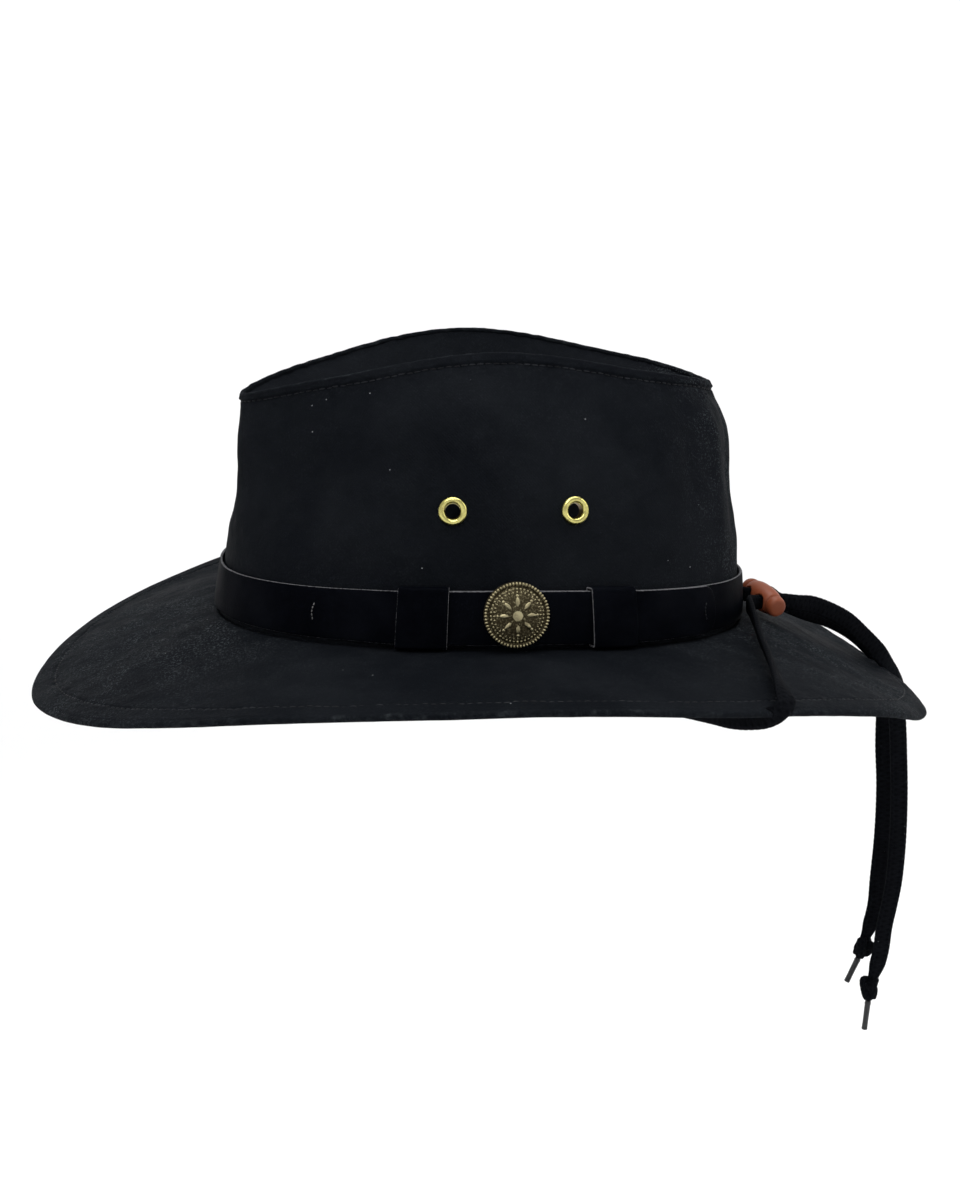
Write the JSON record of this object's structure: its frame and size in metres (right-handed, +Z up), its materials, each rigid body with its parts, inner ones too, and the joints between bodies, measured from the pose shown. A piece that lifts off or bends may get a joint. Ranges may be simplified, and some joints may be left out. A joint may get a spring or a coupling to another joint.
{
  "type": "oilskin hat with chin cord",
  "caption": "Waxed-cotton brimmed hat with a dented crown, leather band with round ornament, eyelets and a stowed chin cord.",
  "frame": {"origin": "middle of the head opening, level with the foot of the crown at the sides, where the hat sits on a head", "axes": "+Z up through the crown, -X to the hat's front, -Y to the wearer's left, where the ornament is"},
  "size_m": [0.3725, 0.318, 0.3125],
  "materials": {
    "waxed_cotton": "waxed plain-weave cotton, dull with a soft oily sheen",
    "band_leather": "black smooth leather with raw grey edges",
    "old_brass": "antique brass, dark in its recesses",
    "bright_brass": "polished brass",
    "stained_wood": "turned and stained, satin",
    "braid": "flat black braid",
    "cord_sheath": "black shrunk sheath"
  },
  "bodies": {
    "root": {"crown_side": "waxed_cotton", "crown_tip": "waxed_cotton", "brim": "waxed_cotton", "hat_band": "band_leather", "keeper_front": "band_leather", "keeper_back": "band_leather", "button": "old_brass", "eyelet_near_front": "bright_brass", "eyelet_near_back": "bright_brass", "eyelet_far_front": "bright_brass", "eyelet_far_back": "bright_brass", "slide": "stained_wood", "cord_near": "braid", "cord_far": "braid", "knot_near": "braid", "knot_far": "braid", "tip_near": "cord_sheath", "tip_far": "cord_sheath"}
  },
  "joints": []
}
